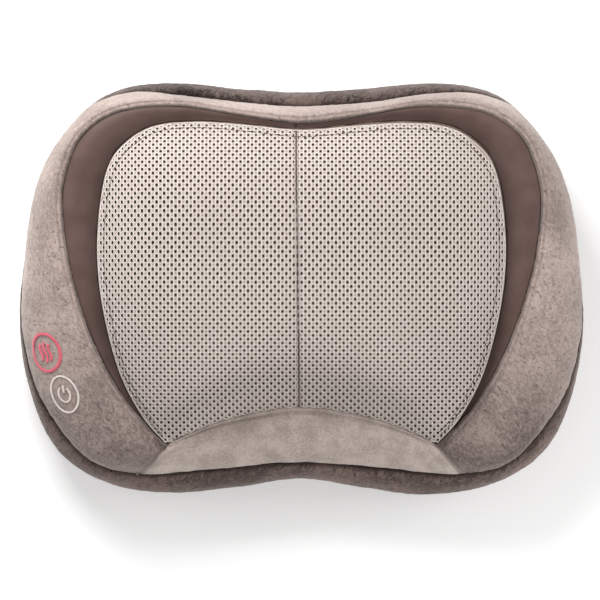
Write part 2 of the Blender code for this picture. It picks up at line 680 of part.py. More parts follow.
def make_frame(look):
    """Rear tray and front lid of the hard frame inside the pillow."""
    def ring(inset, z):
        return outline_ring(mesh_edge, FRAME_INSET + inset, z)

    tray = loft([ring(0, REAR_Z[0]), ring(0, REAR_Z[1])])
    tray = cut(tray, [loft([ring(WALL, REAR_Z[0] + WALL), ring(WALL, REAR_Z[1] + 5)])])
    columns = [rod((*at, REAR_Z[0] + 1), (0, 0, 1), 5, 44.0, 12) for at in FRAME_SCREWS]
    pegs = [rod((x, y, REAR_Z[0] + 1), (0, 0, 1), 2.5, 8.5, 8)
            for x in (48, 88) for y in (-62, -34)]
    holes = [rod((*at, 40), (0, 0, 1), 2.0, 20, 8) for at in FRAME_SCREWS]
    finish(cut(join(tray, columns + pegs), holes), "rear_housing", look["housing"])

    lid = loft([ring(0, REAR_Z[1] + 0.3), ring(0, FRONT_TOP - 3), ring(3, FRONT_TOP)])
    lid = cut(lid, [loft([ring(WALL, REAR_Z[1] - 5), ring(WALL, FRONT_TOP - WALL)])])
    holes = [rod((x * HEAD_X, TRAIN_Y, 50), (0, 0, 1), 12, 12, 28) for x in (-1, 1)]
    holes += [rod((*at, 50), (0, 0, 1), 2.0, 12, 8) for at in FRAME_SCREWS]
    finish(cut(lid, holes), "front_housing", look["housing"])
    for number, at in enumerate(FRAME_SCREWS, 1):
        screw = turned([(0, 42), (1.5, 42), (1.5, 58.4), (3.2, 58.4), (3.2, 60.0), (0, 60.6)],
                       at, 8)
        finish(screw, "frame_screw_%d" % number, look["steel"])

    board = block((42, -66, 19.9), (94, -28, 21.5))
    chips = [block((50, -60, 21), (62, -48, 27)), block((70, -56, 21), (88, -40, 23.5)),
             rod((56, -38, 21), (0, 0, 1), 4, 13, 14)]
    finish(join(board, chips), "control_board", look["board"])


JACK_ANGLE = math.radians(-62)
JACK_Z = 18.0


def jack_frame():
    """Point on the rounded back edge and the outward normal there."""
    rise = math.acos(1 - JACK_Z / RIM_Z)
    reach = rim.at(JACK_ANGLE) - BACK_ROUND * (1 - math.sin(rise))
    step = 0.02
    here = Vector((reach * math.cos(JACK_ANGLE), reach * math.sin(JACK_ANGLE)))
    near = rim.at(JACK_ANGLE + step) - BACK_ROUND * (1 - math.sin(rise))
    ahead = Vector((near * math.cos(JACK_ANGLE + step), near * math.sin(JACK_ANGLE + step)))
    along = (ahead - here).normalized()
    level = Vector((along.y, -along.x, 0)) * RIM_Z * math.sin(rise)
    outward = level - Vector((0, 0, BACK_ROUND * math.cos(rise)))
    return Vector((here.x, here.y, JACK_Z)), outward.normalized()


def make_jack(surface):
    """Power socket in the rim: a sleeve with a centre pin."""
    point, outward = jack_frame()
    jack = turned([(0, -16), (5.4, -16), (5.4, 0.5), (6.6, 0.5), (6.6, 1.1), (2.8, 1.1),
                   (2.8, -9), (1.0, -9), (1.0, -1.2), (0, -0.8)], sides=18)
    finish(aim(jack, point, outward), "dc_jack", surface)


def palette():
    return {
        "plush": material("plush_taupe", (0.47, 0.38, 0.33), 0.95),
        "back": material("plush_brown", (0.14, 0.09, 0.075), 0.95),
        "satin": material("satin_brown", (0.15, 0.085, 0.065), 0.6),
        "mesh": material("spacer_mesh", (0.72, 0.64, 0.57), 0.7),
        "lining": material("dark_lining", (0.07, 0.045, 0.035), 0.9),
        "velour": material("velour_beige", (0.43, 0.34, 0.28), 0.9),
        "foam": material("foam", (0.75, 0.72, 0.62), 1.0),
        "housing": material("grey_plastic", (0.35, 0.36, 0.37), 0.5),
        "steel": material("steel", (0.6, 0.6, 0.6), 0.3, 1.0),
        "bright": material("zinc_plate", (0.7, 0.7, 0.68), 0.35, 1.0),
        "brass": material("sintered_bronze", (0.55, 0.38, 0.18), 0.45, 1.0),
        "copper": material("copper_winding", (0.6, 0.25, 0.1), 0.4, 1.0),
        "magnet": material("ferrite", (0.05, 0.05, 0.055), 0.7),
        "nylon": material("white_nylon", (0.8, 0.79, 0.74), 0.45),
        "arm": material("arm_plastic", (0.12, 0.12, 0.125), 0.5),
        "node": material("node_rubber", (0.55, 0.10, 0.08), 0.55),
        "black": material("black_plastic", (0.03, 0.03, 0.032), 0.4),
        "board": material("circuit_board", (0.03, 0.2, 0.09), 0.45),
        "lamp": material("lamp_red", (0.7, 0.05, 0.03), 0.2),
        "icon_heat": material("icon_heat", (0.75, 0.1, 0.15), 0.8),
        "icon_power": material("icon_power", (0.75, 0.7, 0.65), 0.8),
    }


def make_covers(look):
    point, outward = jack_frame()
    make_back_cover(look["back"], rod(point - outward * 8, outward, 5.9, 20, 24))

    openings = [button_cutters(place, BUTTON_R + 0.5, 12)
                for place in (HEAT_BUTTON, POWER_BUTTON)]
    plush = cut(skin(plush_profile, HORSESHOE_ANGLES, PLUSH_T), openings)
    finish(plush, "plush_cover", look["plush"])

    ring_angles = [a for a in HORSESHOE_ANGLES if plush_edge.at(a) - mesh_edge.at(a) > RING_LEAST]
    finish(skin(ring_profile, ring_angles, SATIN_T), "border_panel", look["satin"])
    crescent_angles = spread(math.pi - CORNER + CRESCENT_SPLIT, 2 * math.pi + CORNER - CRESCENT_SPLIT, 14)
    finish(skin(crescent_profile, crescent_angles, PLUSH_T), "crescent_panel", look["velour"])

    columns = panel_columns(0.3, 8)
    finish(domed_sheet(columns, 0.8, 0, MESH_T), "mesh_panel_right", look["mesh"])
    finish(domed_sheet([-x for x in columns], 0.8, 0, MESH_T), "mesh_panel_left", look["mesh"])
    both = [-x for x in reversed(columns)] + columns
    finish(domed_sheet(both, 0.8, MESH_T + LINING_DROP, LINING_T), "lining_cloth", look["lining"])

    pockets = [button_cutters(place, BUTTON_R + 1.5, 13) for place in (HEAT_BUTTON, POWER_BUTTON)]
    right = list(RIGHT_ANGLES)
    right[0] += FOAM_SPLIT
    right[-1] -= FOAM_SPLIT
    socket = [rod(point - outward * 24, outward, 9, 40, 20)]
    finish(foam_half(right, socket), "wing_foam_right", look["foam"])
    finish(foam_half([math.pi - a for a in right], pockets), "wing_foam_left", look["foam"])
    pad = loft([outline_ring(rim, 34, 3.0), outline_ring(rim, 30, 9.4)])
    finish(pad, "back_foam_pad", look["foam"])


def main():
    for obj in list(bpy.data.objects):
        bpy.data.objects.remove(obj)
    look = palette()
    make_covers(look)
    make_button("heat", HEAT_BUTTON, look["icon_heat"], look["black"])
    make_button("power", POWER_BUTTON, look["icon_power"], look["black"])
    make_frame(look)
    make_gear_case(look)
    make_motor(look)
    make_worm(look["steel"])
    for side in (-1, 1):
        make_side(side, look)
    make_jack(look["black"])


main()
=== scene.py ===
# A plush shiatsu neck massager: the sewn covers, mesh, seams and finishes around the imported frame.
import json
import math

import bmesh
import bpy
import numpy as np
from mathutils import Matrix, Vector, noise
from mathutils.bvhtree import BVHTree


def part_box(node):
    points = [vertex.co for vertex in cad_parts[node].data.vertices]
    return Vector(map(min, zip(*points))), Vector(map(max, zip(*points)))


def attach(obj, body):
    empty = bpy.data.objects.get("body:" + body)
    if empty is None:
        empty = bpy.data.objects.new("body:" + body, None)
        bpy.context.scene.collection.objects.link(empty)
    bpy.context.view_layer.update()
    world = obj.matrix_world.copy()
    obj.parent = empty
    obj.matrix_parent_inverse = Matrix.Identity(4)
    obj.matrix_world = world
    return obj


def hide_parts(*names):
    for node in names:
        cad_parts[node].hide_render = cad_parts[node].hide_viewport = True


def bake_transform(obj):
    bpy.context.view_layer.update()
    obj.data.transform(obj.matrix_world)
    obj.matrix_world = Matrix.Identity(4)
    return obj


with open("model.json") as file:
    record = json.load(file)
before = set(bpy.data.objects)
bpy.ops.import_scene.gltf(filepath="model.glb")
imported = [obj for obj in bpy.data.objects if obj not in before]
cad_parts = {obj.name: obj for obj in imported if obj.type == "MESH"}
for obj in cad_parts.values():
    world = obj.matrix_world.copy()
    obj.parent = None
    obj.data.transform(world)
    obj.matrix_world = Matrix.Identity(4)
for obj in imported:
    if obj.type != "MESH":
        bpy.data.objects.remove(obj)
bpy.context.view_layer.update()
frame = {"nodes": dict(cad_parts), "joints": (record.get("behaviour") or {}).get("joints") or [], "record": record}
record = frame["record"]
mm = 0.001
print("frame loaded:", len(frame["nodes"]), "nodes")

# Outlines seen from the front, right half, top centre to bottom centre, in millimetres
outlines = {
    "rim": [(0, 139.5), (43, 142), (92, 146), (128, 142), (156, 126), (179, 91), (193, 44),
            (200, -25), (190, -82), (170, -118), (135, -139), (92, -145), (43, -140.5), (0, -135)],
    "seam": [(0, 128.5), (40, 131), (80, 136), (115, 138.5), (140, 132.5), (155, 121.5),
             (177, 88), (191, 44), (198, -12), (195, -42), (183, -80), (152, -119),
             (115, -131.5), (62, -128), (0, -123.5)],
    "plush": [(0, 117), (40, 121.5), (80, 128), (110, 128), (135, 122), (155, 107), (165, 86),
              (169, 62), (166, 28), (160, 0), (146, -40), (124, -80), (95.5, -113)],
    "meshSide": [(0, 113), (40, 116.5), (75, 118.5), (105, 115), (125, 103), (137, 86), (143, 56),
                 (144.5, 20), (140, -18), (129, -60), (113, -91), (96, -111)],
    "meshBottom": [(96, -111), (60, -95.5), (20, -86.5), (0, -85)],
}

# Heights above the flat back, in millimetres
pillow = {"rimZ": 30, "seamZ": 52, "wingZ": 94, "meshZ": 88, "domeTop": 117, "bottomDrop": 20,
          "crescentBulge": 6.0, "crescentFoot": 1.4, "crescentLift": 4.5, "backRound": 24, "overMesh": 2.0}

# Soft rises over the massage knobs: half their width and height, and where each lies
lumps = {"x": 66, "wide": 25, "tall": 34, "rises": [(60, 5.0), (-10, 3.5)]}


# curves
# 1 at no distance, fading to 0 over the width
def near(distance, width):
    return math.exp(-(distance / width) ** 2)


def smoothRun(points, mirrorStart=False, mirrorEnd=False, steps=24):
    pts = [Vector(p) for p in points]
    before = Vector((-pts[1].x, pts[1].y)) if mirrorStart else 2 * pts[0] - pts[1]
    after = Vector((-pts[-2].x, pts[-2].y)) if mirrorEnd else 2 * pts[-1] - pts[-2]
    pts = [before] + pts + [after]
    run = []
    for a, b, c, d in zip(pts, pts[1:], pts[2:], pts[3:]):
        for k in range(steps):
            t = k / steps
            run.append(0.5 * ((2 * b) + (c - a) * t + (2 * a - 5 * b + 4 * c - d) * t * t
                              + (3 * b - a - 3 * c + d) * t ** 3))
    run.append(pts[-2])
    return np.array([tuple(p) for p in run])


# Reads a left-right symmetric outline as a radius for each direction
class Outline:
    def __init__(self, run):
        angle = np.arctan2(run[:, 1], run[:, 0])
        order = np.argsort(angle)
        self.angle, self.radius = angle[order], np.hypot(run[:, 0], run[:, 1])[order]

    def at(self, angle):
        return float(np.interp(math.atan2(math.sin(angle), abs(math.cos(angle))), self.angle, self.radius))


rim = Outline(smoothRun(outlines["rim"], True, True))
seam = Outline(smoothRun(outlines["seam"], True, True))
plushEdge = Outline(smoothRun(outlines["plush"], True))
meshEdge = Outline(np.vstack([smoothRun(outlines["meshSide"], True),
                              smoothRun(outlines["meshBottom"], False, True)[1:]]))
corner = math.atan2(outlines["meshBottom"][0][1], outlines["meshBottom"][0][0])


def ease(t):
    t = min(max(t, 0.0), 1.0)
    return t * t * (3 - 2 * t)


def droop(angle):
    return pillow["bottomDrop"] * ease(math.sin(angle) / math.sin(corner))


def wingInner(angle):
    return max(plushEdge.at(angle), meshEdge.at(angle) - pillow["overMesh"])


# Height of the mesh before the cloth evens it out, all in millimetres
def stuffing(x, y):
    angle = math.atan2(y, x)
    share = min(math.hypot(x, y) / meshEdge.at(angle), 1.0)
    edge = pillow["meshZ"] - droop(angle)
    power = 3.5 + 1.5 * math.cos(angle) ** 2 - 0.5 * max(-math.sin(angle), 0) ** 2
    height = edge + (pillow["domeTop"] - edge) * max(1 - share ** power, 0) ** 0.7
    for side in (-1, 1):
        for middleY, rise in lumps["rises"]:
            away = ((x - side * lumps["x"]) / lumps["wide"]) ** 2 + ((y - middleY) / lumps["tall"]) ** 2
            height += rise * math.exp(-away) * (1 - share ** 6)
    return height


# How much of the bumps is left near the two lower corners, where the wing and the crescent have to meet
def calmCorner(co):
    return 1 - 0.9 * near(abs(math.atan2(co.y, abs(co.x)) - corner) * co.xy.length, 11)


# Height across the crescent, share 0 at its outer seam and 1 at the mesh
def crescentHeight(angle, share):
    base = pillow["seamZ"] + pillow["crescentFoot"]
    top = pillow["meshZ"] - pillow["bottomDrop"] + pillow["crescentLift"]
    share = min(max(share, 0.0), 1.0)
    return base + (top - base) * share + pillow["crescentBulge"] * math.sin(math.pi * share ** 0.85)


# Evens out a height field as tight cloth would, holding it at the sewn edge
class Cloth:
    def __init__(self, step=2.0, rounds=70):
        self.step, self.low = step, (-156.0, -132.0)
        counts = (int(312 / step) + 1, int(264 / step) + 1)
        height, held = np.zeros(counts), np.zeros(counts, bool)
        for i in range(counts[0]):
            for j in range(counts[1]):
                x, y = self.low[0] + i * step, self.low[1] + j * step
                height[i, j] = stuffing(x, y)
                held[i, j] = math.hypot(x, y) > meshEdge.at(math.atan2(y, x)) * 0.985
        first = height.copy()
        for _ in range(rounds):
            beside = np.roll(height, 1, 0) + np.roll(height, -1, 0)
            mean = (beside + np.roll(height, 1, 1) + np.roll(height, -1, 1)) / 4
            height = np.where(held, first, mean)
        self.height = height

    def at(self, x, y):
        i, j = (x - self.low[0]) / self.step, (y - self.low[1]) / self.step
        i, j = min(max(i, 0), self.height.shape[0] - 2), min(max(j, 0), self.height.shape[1] - 2)
        a, b = int(i), int(j)
        u, v = i - a, j - b
        h = self.height
        lower, upper = h[a, b] * (1 - u) + h[a + 1, b] * u, h[a, b + 1] * (1 - u) + h[a + 1, b + 1] * u
        return float(lower * (1 - v) + upper * v)


dome = Cloth().at


def polar(angle, radius, z):
    return Vector((radius * math.cos(angle), radius * math.sin(angle), z))


# A point at a share of a smooth curve through (radius, z) points, by length
def alongProfile(points, share):
    pts = np.array(points, float)
    step = np.hypot(*np.diff(pts, axis=0).T)
    total = np.concatenate([[0], np.cumsum(step)]) / step.sum()
    return float(np.interp(share, total, pts[:, 0])), float(np.interp(share, total, pts[:, 1]))


# shader maths: a socket that can be added, multiplied and so on
class Value:
    def __init__(self, maker, socket):
        self.maker, self.socket = maker, socket

    def maths(self, operation, other, swap=False):
        pair = (other, self) if swap else (self, other)
        return self.maker.add("ShaderNodeMath", {"operation": operation}, {0: pair[0], 1: pair[1]})

    def __add__(self, other):
        return self.maths("ADD", other)

    def __radd__(self, other):
        return self.maths("ADD", other, True)

    def __sub__(self, other):
        return self.maths("SUBTRACT", other)

    def __rsub__(self, other):
        return self.maths("SUBTRACT", other, True)

    def __mul__(self, other):
        return self.maths("MULTIPLY", other)

    def __rmul__(self, other):
        return self.maths("MULTIPLY", other, True)

    def spread(self, low, high):
        return self.maker.add("ShaderNodeMapRange", {"interpolation_type": "SMOOTHSTEP"},
                              {"Value": self, "From Min": low, "From Max": high})


# Builds one material: add() makes any node, and colours and numbers go in as inputs
class Finish:
    def __init__(self, name, roughness=0.8, metallic=0.0, **constants):
        self.material = bpy.data.materials.new(name)
        self.material.use_nodes = True
        self.tree = self.material.node_tree
        self.shader = self.tree.nodes["Principled BSDF"]
        self.set("Roughness", roughness)
        self.set("Metallic", metallic)
        for key, value in constants.items():
            self.set(key.replace("_", " "), value)

    def set(self, name, value):
        if isinstance(value, Value):
            self.tree.links.new(value.socket, self.shader.inputs[name])
        else:
            self.shader.inputs[name].default_value = (*value, 1.0) if isinstance(value, tuple) else value

    def add(self, kind, settings, inputs, output=0):
        node = self.tree.nodes.new(kind)
        for key, value in settings.items():
            setattr(node, key, value)
        for key, value in inputs.items():
            if isinstance(value, Value):
                self.tree.links.new(value.socket, node.inputs[key])
            elif isinstance(value, tuple) and len(value) == 3 and node.inputs[key].type == "RGBA":
                node.inputs[key].default_value = (*value, 1.0)
            else:
                node.inputs[key].default_value = value
        return Value(self, node.outputs[output])

    def coordinates(self, scale=(1, 1, 1), turn=0.0):
        point = self.add("ShaderNodeTexCoord", {}, {}, "Object")
        return self.add("ShaderNodeMapping", {"vector_type": "TEXTURE"}, {
            "Vector": point, "Rotation": (0, 0, turn), "Scale": scale})

    def noise(self, scale, detail=3.0, roughness=0.55, stretch=(1, 1, 1), distortion=0.0, turn=0.0):
        return self.add("ShaderNodeTexNoise", {}, {
            "Vector": self.coordinates(stretch, turn), "Scale": scale, "Detail": detail,
            "Roughness": roughness, "Distortion": distortion}, "Fac")

    def cells(self, scale):
        inputs = {"Vector": self.coordinates(), "Scale": scale}
        return self.add("ShaderNodeTexVoronoi", {}, inputs, "Distance")

    def mix(self, share, a, b):
        return self.add("ShaderNodeMix", {"data_type": "RGBA"}, {0: share, 6: a, 7: b}, 2)

    def attribute(self, name):
        return self.add("ShaderNodeAttribute", {"attribute_name": name}, {}, "Fac")

    def bump(self, height, strength, distance):
        inputs = {"Height": height, "Strength": strength, "Distance": distance}
        self.set("Normal", self.add("ShaderNodeBump", {}, inputs))


# Short-pile plush: brushed clumps, paler tips, dark flecks where the pile parts. Painted shade: the colour
# darkens along Y over a set span, where less light falls, and darkens in creases and seams
def plushFinish(name, p):
    f = Finish(name, 0.9, 0.0, Sheen_Weight=p["sheen"], Sheen_Roughness=0.45, Specular_IOR_Level=0.12)
    f.set("Sheen Tint", (1.0, 0.93, 0.88))
    fine, streak, nap, depth = p["fine"], p["streak"], p["nap"], p["paintedShadeDepth"]
    clumps = f.noise(420 * fine, 4.0, 0.65, (1, streak, 1), 0.8, nap)
    drift = f.noise(26, 3.0, 0.5)
    pile = f.noise(1500 * fine, 3.0, 0.65, (1, streak * 1.6, 1), 0.4, nap)
    tone = (clumps * 0.5 + drift * 0.45 + pile * 0.45).spread(0.57, 0.83)
    parting = f.noise(560 * fine, 3.0, 0.6, (1, streak * 1.8, 1), 1.8, nap + 0.5).spread(0.58, 0.72)
    # painted shade: darker over a band in Y, standing in for light falling off
    y = f.add("ShaderNodeSeparateXYZ", {}, {0: f.coordinates()}, 1)
    low, high = sorted((p["paintedShadeFrom"], p["paintedShadeTo"]))
    paintedShadeShare = y.spread(low, high) if p["paintedShadeTo"] == high else 1 - y.spread(low, high)
    colour = f.mix(tone * (1 - depth) + (1 - paintedShadeShare) * depth, p["deep"], p["light"])
    flecked = f.mix(parting * p["contrast"], colour, p["fleckAndShade"])
    # painted shade: darker in creases and seams, mixed towards the dark fleck colour
    f.set("Base Color", f.mix(f.attribute("crease") * 0.8, flecked, p["fleckAndShade"]))
    f.set("Roughness", clumps * 0.15 + 0.8)
    f.bump(clumps * 0.7 + pile * 0.5 - parting * 0.8, 0.9, 0.0008)
    return f.material


def velourFinish():
    f = Finish("velourBeige", 0.85, 0.0, Sheen_Weight=0.5, Sheen_Roughness=0.5, Specular_IOR_Level=0.15)
    nap = f.noise(700, 4.0, 0.65)
    shade = f.noise(75, 4.0, 0.6)
    colour = f.mix((nap * 0.5 + shade * 0.5).spread(0.38, 0.62), (0.40, 0.325, 0.29), (0.60, 0.505, 0.455))
    # painted shade: darker towards a dark brown in creases, at the stitch groove, the turn-under and the panel's
    # ends
    f.set("Base Color", f.mix(f.attribute("crease") * 0.75, colour, (0.10, 0.07, 0.06)))
    f.bump(nap + shade * 0.6, 0.5, 0.0006)
    return f.material


def satinFinish():
    f = Finish("satinBrown", 0.55, 0.0, Sheen_Weight=0.25, Sheen_Roughness=0.4, Specular_IOR_Level=0.3)
    weave = f.add("ShaderNodeTexWave", {"wave_type": "BANDS", "bands_direction": "DIAGONAL"},
                  {"Vector": f.coordinates(), "Scale": 420.0, "Distortion": 1.5, "Detail": 1.0}, "Fac")
    cloud = f.noise(45, 3.0, 0.5)
    colour = f.mix(cloud.spread(0.3, 0.7) * 0.7 + weave * 0.3, (0.088, 0.050, 0.042), (0.128, 0.077, 0.066))
    # painted shade: darker in the crevice by the wing, towards the mesh edge and along the top seam
    f.set("Base Color", f.mix(f.attribute("crease") * 0.85, colour, (0.018, 0.010, 0.008)))
    f.set("Roughness", cloud * 0.15 + 0.48)
    f.bump(weave, 0.12, 0.0003)
    return f.material


# Knitted spacer mesh: painted highlight on the raised loops round the holes, painted shade on the yarn between
# them
def meshFinish():
    f = Finish("spacerMesh", 0.6, 0.0, Sheen_Weight=0.2, Specular_IOR_Level=0.35)
    loop = f.attribute("loop")
    yarn = f.noise(1400, 3.0, 0.6)
    cloud = f.noise(30, 2.0, 0.5)
    # painted light: the raised loops round the holes pale, the valleys between them shaded dark
    colour = f.mix(loop.spread(0.1, 0.8), (0.40, 0.315, 0.275), (0.93, 0.865, 0.82))
    knit = f.mix(yarn.spread(0.35, 0.7) * 0.25 + cloud * 0.1, colour, (0.46, 0.375, 0.335))
    # painted shade: darker along the dipped middle seam
    f.set("Base Color", f.mix(f.attribute("crease") * 0.8, knit, (0.07, 0.048, 0.04)))
    f.bump(yarn, 0.3, 0.0003)
    return f.material


def liningFinish():
    f = Finish("darkLining", 0.9, 0.0, Specular_IOR_Level=0.1)
    weave = f.cells(700)
    f.set("Base Color", f.mix(weave.spread(0.2, 0.8), (0.13, 0.096, 0.075), (0.24, 0.185, 0.15)))
    f.bump(weave, 0.3, 0.0003)
    return f.material


def threadFinish(name, colour, dark):
    f = Finish(name, 0.6, 0.0, Sheen_Weight=0.3)
    ply = f.noise(2500, 2.0, 0.5)
    f.set("Base Color", f.mix(ply.spread(0.3, 0.7), dark, colour))
    f.bump(ply, 0.3, 0.0002)
    return f.material


# Moulded, cast or drawn surface with fine grain and slightly uneven gloss
def hardFinish(name, base, roughness, metallic, grain, depth, coat=0.0):
    f = Finish(name, roughness, metallic, Coat_Weight=coat, Coat_Roughness=0.15)
    speck = f.noise(grain, 4.0, 0.6)
    smear = f.noise(40, 3.0, 0.55)
    darker = tuple(c * 0.82 for c in base)
    f.set("Base Color", f.mix(smear.spread(0.35, 0.65), darker, base))
    f.set("Roughness", smear * 0.14 + speck * 0.08 + (roughness - 0.1))
    f.bump(speck, depth, 0.0003)
    return f.material


def foamFinish():
    f = Finish("openCellFoam", 0.95)
    pores = f.cells(900)
    f.set("Base Color", f.mix(pores.spread(0.1, 0.6), (0.45, 0.42, 0.33), (0.74, 0.71, 0.6)))
    f.bump(pores, 0.6, 0.0006)
    return f.material


# The last three entries of each paint shade: the taupe wing darker towards the bottom, the brown back darker along
# its top band
taupePlush = {
    "deep": (0.125, 0.092, 0.082), "light": (0.485, 0.386, 0.351), "fleckAndShade": (0.08, 0.056, 0.049),
    "sheen": 0.5, "streak": 1.8, "nap": 0.5, "contrast": 0.75, "fine": 1.0,
    "paintedShadeFrom": -0.03, "paintedShadeTo": -0.125, "paintedShadeDepth": 0.42,
}
brownPlush = {
    "deep": (0.010, 0.006, 0.005), "light": (0.222, 0.158, 0.140), "fleckAndShade": (0.018, 0.011, 0.009),
    "sheen": 0.3, "streak": 2.4, "nap": -0.7, "contrast": 1.0, "fine": 0.7,
    "paintedShadeFrom": 0.09, "paintedShadeTo": 0.14, "paintedShadeDepth": 0.33,
}
finishes = {
    "plush": plushFinish("plushTaupe", taupePlush), "back": plushFinish("plushBrown", brownPlush),
    "velour": velourFinish(), "satin": satinFinish(), "mesh": meshFinish(), "lining": liningFinish(),
    "thread": threadFinish("brownThread", (0.11, 0.075, 0.062), (0.06, 0.038, 0.03)),
    "paleThread": threadFinish("beigeThread", (0.50, 0.41, 0.36), (0.36, 0.28, 0.24)),
    "pink": threadFinish("pinkEmbroidery", (0.80, 0.13, 0.19), (0.62, 0.10, 0.14)),
    "white": threadFinish("whiteEmbroidery", (0.86, 0.78, 0.74), (0.68, 0.60, 0.56)),
    "foam": foamFinish(),
}
slotFinishes = {
    "grey_plastic": hardFinish("greyPlastic", (0.30, 0.31, 0.32), 0.5, 0.0, 900, 0.2),
    "black_plastic": hardFinish("blackPlastic", (0.025, 0.025, 0.027), 0.4, 0.0, 900, 0.15),
    "arm_plastic": hardFinish("armPlastic", (0.10, 0.10, 0.105), 0.5, 0.0, 700, 0.2),
    "white_nylon": hardFinish("whiteNylon", (0.78, 0.77, 0.72), 0.45, 0.0, 500, 0.1),
    "node_rubber": hardFinish("nodeRubber", (0.50, 0.09, 0.07), 0.55, 0.0, 600, 0.2),
    "lamp_red": hardFinish("lampRed", (0.65, 0.04, 0.03), 0.2, 0.0, 200, 0.05, 0.6),
    "circuit_board": hardFinish("circuitBoard", (0.025, 0.17, 0.08), 0.4, 0.0, 400, 0.1, 0.3),
    "steel": hardFinish("drawnSteel", (0.56, 0.56, 0.55), 0.32, 1.0, 1200, 0.08),
    "zinc_plate": hardFinish("zincPlate", (0.68, 0.68, 0.65), 0.38, 1.0, 300, 0.12),
    "sintered_bronze": hardFinish("sinteredBronze", (0.50, 0.34, 0.16), 0.5, 1.0, 1500, 0.3),
    "copper_winding": hardFinish("copperWinding", (0.55, 0.22, 0.09), 0.4, 1.0, 800, 0.4),
    "ferrite": hardFinish("ferrite", (0.045, 0.045, 0.05), 0.7, 0.0, 900, 0.3),
    "foam": finishes["foam"],
}
print("finishes made:", len(finishes) + len(slotFinishes))


# making pieces
# A grid bent into a surface: surface(u, v) gives each point in millimetres and how much painted shade it gets in a
# crease or seam
def mappedGrid(columns, rows, surface, closed=False):
    bm = bmesh.new()
    crease = bm.verts.layers.float.new("crease")
    bmesh.ops.create_grid(bm, x_segments=columns, y_segments=rows, size=0.5)
    for v in bm.verts:
        v.co, v[crease] = surface(v.co.x + 0.5, v.co.y + 0.5)
    if closed:
        bmesh.ops.remove_doubles(bm, verts=bm.verts, dist=1e-4)
    bmesh.ops.recalc_face_normals(bm, faces=bm.faces)
    return bm


# Turn all faces over if the one nearest to outward's direction looks inwards
def faceUp(bm, outward):
    bm.normal_update()
    lead = max(bm.faces, key=lambda f: f.calc_center_median().dot(outward))
    if lead.normal.dot(outward) < 0:
        bmesh.ops.reverse_faces(bm, faces=bm.faces)
    bm.normal_update()


# Push points along their normals by sums of noise, each (size in mm, height in mm)
def displace(bm, layers, hold=None):
    bm.normal_update()
    moves = []
    for v in bm.verts:
        push = 0.0
        for k, (size, height) in enumerate(layers):
            push += height * noise.noise(v.co / size + Vector((7.3 * k, 1.7 * k, 3.1)))
        moves.append(v.normal * push * (hold(v.co) if hold else 1.0))
    for v, move in zip(bm.verts, moves):
        v.co += move


# A bmesh in millimetres becomes an object in metres at the origin
def makePiece(bm, name, finish):
    bmesh.ops.scale(bm, verts=bm.verts, vec=(mm, mm, mm))
    mesh = bpy.data.meshes.new(name)
    bm.to_mesh(mesh)
    bm.free()
    mesh.shade_smooth()
    mesh.materials.append(finishes[finish])
    piece = bpy.data.objects.new(name, mesh)
    bpy.context.scene.collection.objects.link(piece)
    return piece


def thicken(piece, thickness, levels=0):
    wall = piece.modifiers.new("thickness", "SOLIDIFY")
    wall.thickness, wall.offset, wall.use_even_offset = thickness * mm, -1.0, False
    if levels:
        fine = piece.modifiers.new("round", "SUBSURF")
        fine.levels = fine.render_levels = levels
    return piece


# Flat width, length and area in metres of the cloth cut for a shape that is open to the front
def cutSize(bm):
    bm.normal_update()
    area = sum(f.calc_area() for f in bm.faces)
    seen = sum(abs(f.normal.z) * f.calc_area() for f in bm.faces)
    spans = [max(v.co[i] for v in bm.verts) - min(v.co[i] for v in bm.verts) for i in (0, 1)]
    return tuple(span * (area / seen) ** 0.5 * mm for span in spans), area * mm * mm


def place(piece, body, slot, *nodes):
    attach(piece, body)
    if nodes:
        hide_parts(*nodes)
    return piece


def sideDegrees(angle):
    return math.degrees(math.atan2(math.sin(angle), abs(math.cos(angle))))


# back cover
backCover = {"columns": 460, "rows": 82, "tuck": 8.0, "shoulder": 26, "shoulderTuck": 2.6, "thickness": 2.0,
             "bumps": [(34, 0.5), (9, 0.3), (2.6, 0.32)]}
jack = {"angle": math.radians(-62), "height": 18.0, "hole": 6.0, "lip": 2.1, "lipLong": 30, "lipZ": 31}


def backProfile(angle):
    outer, line, rimZ = rim.at(angle), seam.at(angle), pillow["rimZ"]
    outer -= backCover["shoulderTuck"] * near(sideDegrees(angle) - backCover["shoulder"], 15)
    curve = [(0.5, 0.0), (outer * 0.45, 0.0), (outer - pillow["backRound"] - 8, 0.0)]
    for k in range(13):
        b = math.pi / 2 * k / 12
        curve.append((outer - pillow["backRound"] * (1 - math.sin(b)), rimZ * (1 - math.cos(b))))
    top = pillow["seamZ"] + 0.1
    for k in range(1, 11):
        b = math.pi / 2 * k / 10
        curve.append((line + (outer - line) * math.cos(b), rimZ + (top - rimZ) * math.sin(b)))
    curve += [(line - backCover["tuck"] * 0.6, top), (line - backCover["tuck"], top - 0.4)]
    return curve


# Where the power socket leaves the rounded back edge, and its outward direction
def jackFrame():
    height, rimZ, width, ahead = jack["height"], pillow["rimZ"], pillow["backRound"], 0.02
    rise = math.acos(1 - height / rimZ)
    here, there = (polar(angle, rim.at(angle) - width * (1 - math.sin(rise)), height)
                   for angle in (jack["angle"], jack["angle"] + ahead))
    along = (there - here).normalized()
    level, down = rimZ * math.sin(rise), width * math.cos(rise)
    return here, Vector((along.y * level, -along.x * level, -down)).normalized()


